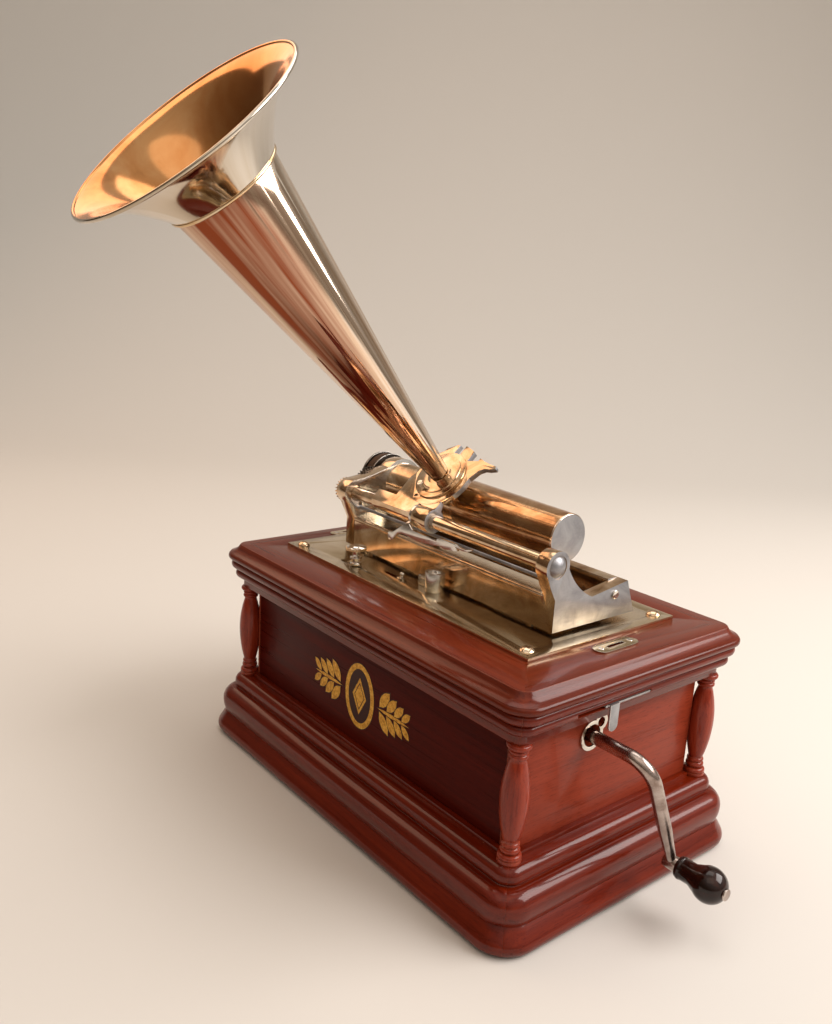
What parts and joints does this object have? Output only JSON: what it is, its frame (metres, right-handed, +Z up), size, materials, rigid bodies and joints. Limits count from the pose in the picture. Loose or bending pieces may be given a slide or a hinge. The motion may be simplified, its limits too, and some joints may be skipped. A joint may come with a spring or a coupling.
{
  "type": "cylinder phonograph",
  "caption": "Table-top spring-driven cylinder phonograph in a moulded mahogany case with a nickelled horn.",
  "frame": {"origin": "middle of the case bottom, where the case stands", "axes": "+Z up; +X along the case towards the crank end; +Y to the back, so the horn points to -Y"},
  "size_m": [0.5163, 0.4744, 0.6215],
  "materials": {
    "mahogany": "polished",
    "secondary_wood": "plain",
    "dark_wood": "gloss",
    "nickel": "polished",
    "satin_steel": "satin",
    "brass": "satin",
    "steel": "satin",
    "belt_leather": "matte",
    "mica": "clear"
  },
  "bodies": {
    "case": {"base_board": "secondary_wood", "plinth_strips": "mahogany", "torus_strips": "mahogany", "foot_strips": "mahogany", "front_panel": "mahogany", "back_panel": "mahogany", "left_panel": "mahogany", "right_panel": "mahogany", "corner_columns": "mahogany", "frieze_strips": "mahogany", "crank_escutcheon": "nickel", "crank_bush": "brass", "lower_hinge_leaves": "brass", "hinge_pins": "steel"},
    "lid": {"top_board": "mahogany", "upper_hinge_leaves": "brass", "latch_keeper": "steel", "bedplate": "nickel", "bedplate_screws": "nickel", "cover_catch_plates": "nickel", "works_frame": "nickel", "left_standard": "nickel", "guide_tube": "nickel", "guide_rod": "satin_steel", "pivot_cap": "satin_steel", "lever_post": "nickel", "drive_belt": "belt_leather", "motor_plate_right": "brass", "motor_plate_left": "brass", "motor_pillars": "steel", "ratchet_pawl": "steel", "brake_bracket": "steel"},
    "latch": {"latch_slide": "satin_steel"},
    "crank": {"crank_arm": "nickel"},
    "knob": {"crank_knob": "dark_wood"},
    "start": {"start_lever": "nickel"},
    "speed": {"speed_screw": "nickel"},
    "brake": {"brake_lever": "steel"},
    "mandrel_set": {"mandrel": "nickel", "mandrel_shaft": "steel", "mandrel_pulley": "steel", "mandrel_gear": "brass"},
    "idler": {"idler_gear": "brass"},
    "feed": {"feed_screw": "steel", "feed_gear": "brass"},
    "nut": {"half_nut": "brass", "lift_lever": "satin_steel"},
    "carriage_set": {"carriage": "nickel", "reproducer_body": "nickel", "diaphragm": "mica", "stylus_bar": "steel"},
    "horn": {"horn_cone": "nickel", "horn_bell": "nickel"},
    "arbor": {"winding_arbor": "steel"},
    "barrel": {"spring_barrel": "brass", "mainspring": "steel"},
    "second": {"second_wheel": "brass"},
    "drive": {"drive_pulley": "steel"},
    "governor": {"governor_spindle": "steel", "governor_weights": "brass"}
  },
  "joints": [
    {"name": "lid_hinge", "type": "hinge", "parent": "case", "child": "lid", "pos_m": [-0.21675, 0, 0.1854], "axis": [0, -1, 0], "range_deg": [0, 85]},
    {"name": "latch", "type": "slide", "parent": "case", "child": "latch", "axis": [0, -1, 0], "range_m": [0, 0.028]},
    {"name": "crank_turn", "type": "hinge", "parent": "case", "child": "crank", "pos_m": [0, -0.03, 0.137], "axis": [1, 0, 0], "continuous": true},
    {"name": "knob_turn", "type": "hinge", "parent": "crank", "child": "knob", "pos_m": [0, 0.01388, 0.04161], "axis": [1, 0, 0], "continuous": true},
    {"name": "arbor_turn", "type": "hinge", "parent": "lid", "child": "arbor", "pos_m": [0, -0.03, 0.137], "axis": [1, 0, 0], "continuous": true},
    {"name": "start_slide", "type": "slide", "parent": "lid", "child": "start", "axis": [-1, 0, 0], "range_m": [0, 0.024]},
    {"name": "speed_turn", "type": "hinge", "parent": "lid", "child": "speed", "pos_m": [-0.0805, -0.064, 0.2026], "axis": [0, 0, 1], "range_deg": [-180, 180]},
    {"name": "brake_tilt", "type": "hinge", "parent": "lid", "child": "brake", "pos_m": [-0.0585, -0.01, 0.158], "axis": [1, 0, 0], "range_deg": [-0.36, 0.36]},
    {"name": "mandrel_spin", "type": "hinge", "parent": "lid", "child": "mandrel_set", "pos_m": [0, 0.0208, 0.2642], "axis": [1, 0, 0], "continuous": true},
    {"name": "idler_spin", "type": "hinge", "parent": "lid", "child": "idler", "pos_m": [0, -0.00735, 0.26175], "axis": [1, 0, 0], "continuous": true},
    {"name": "feed_spin", "type": "hinge", "parent": "lid", "child": "feed", "pos_m": [0, -0.0355, 0.2593], "axis": [1, 0, 0], "continuous": true},
    {"name": "drive_spin", "type": "hinge", "parent": "lid", "child": "drive", "pos_m": [0, 0.0208, 0.11557], "axis": [1, 0, 0], "continuous": true},
    {"name": "second_spin", "type": "hinge", "parent": "lid", "child": "second", "pos_m": [0, -0.0057, 0.09491], "axis": [1, 0, 0], "continuous": true},
    {"name": "barrel_spin", "type": "hinge", "parent": "lid", "child": "barrel", "pos_m": [0, -0.03, 0.137], "axis": [1, 0, 0], "continuous": true},
    {"name": "governor_spin", "type": "hinge", "parent": "lid", "child": "governor", "pos_m": [0, 0.04262, 0.12817], "axis": [1, 0, 0], "continuous": true},
    {"name": "carriage_feed", "type": "slide", "parent": "lid", "child": "nut", "axis": [1, 0, 0], "range_m": [-0.03, 0.105]},
    {"name": "carriage_lift", "type": "hinge", "parent": "nut", "child": "carriage_set", "pos_m": [0, -0.0355, 0.2593], "axis": [1, 0, 0], "range_deg": [0, 35]},
    {"name": "horn_lift_off", "type": "slide", "parent": "carriage_set", "child": "horn", "axis": [0, -0.6915, 0.7224], "range_m": [0, 0.03]}
  ],
  "couplings": [
    {"joint": "arbor_turn", "follows": "crank_turn", "ratio": 1},
    {"joint": "brake_tilt", "follows": "speed_turn", "ratio": 0.002},
    {"joint": "idler_spin", "follows": "mandrel_spin", "ratio": -0.64706},
    {"joint": "feed_spin", "follows": "mandrel_spin", "ratio": 1},
    {"joint": "drive_spin", "follows": "mandrel_spin", "ratio": 1},
    {"joint": "second_spin", "follows": "mandrel_spin", "ratio": -0.16667},
    {"joint": "barrel_spin", "follows": "mandrel_spin", "ratio": 0.020833},
    {"joint": "governor_spin", "follows": "mandrel_spin", "ratio": -5}
  ]
}
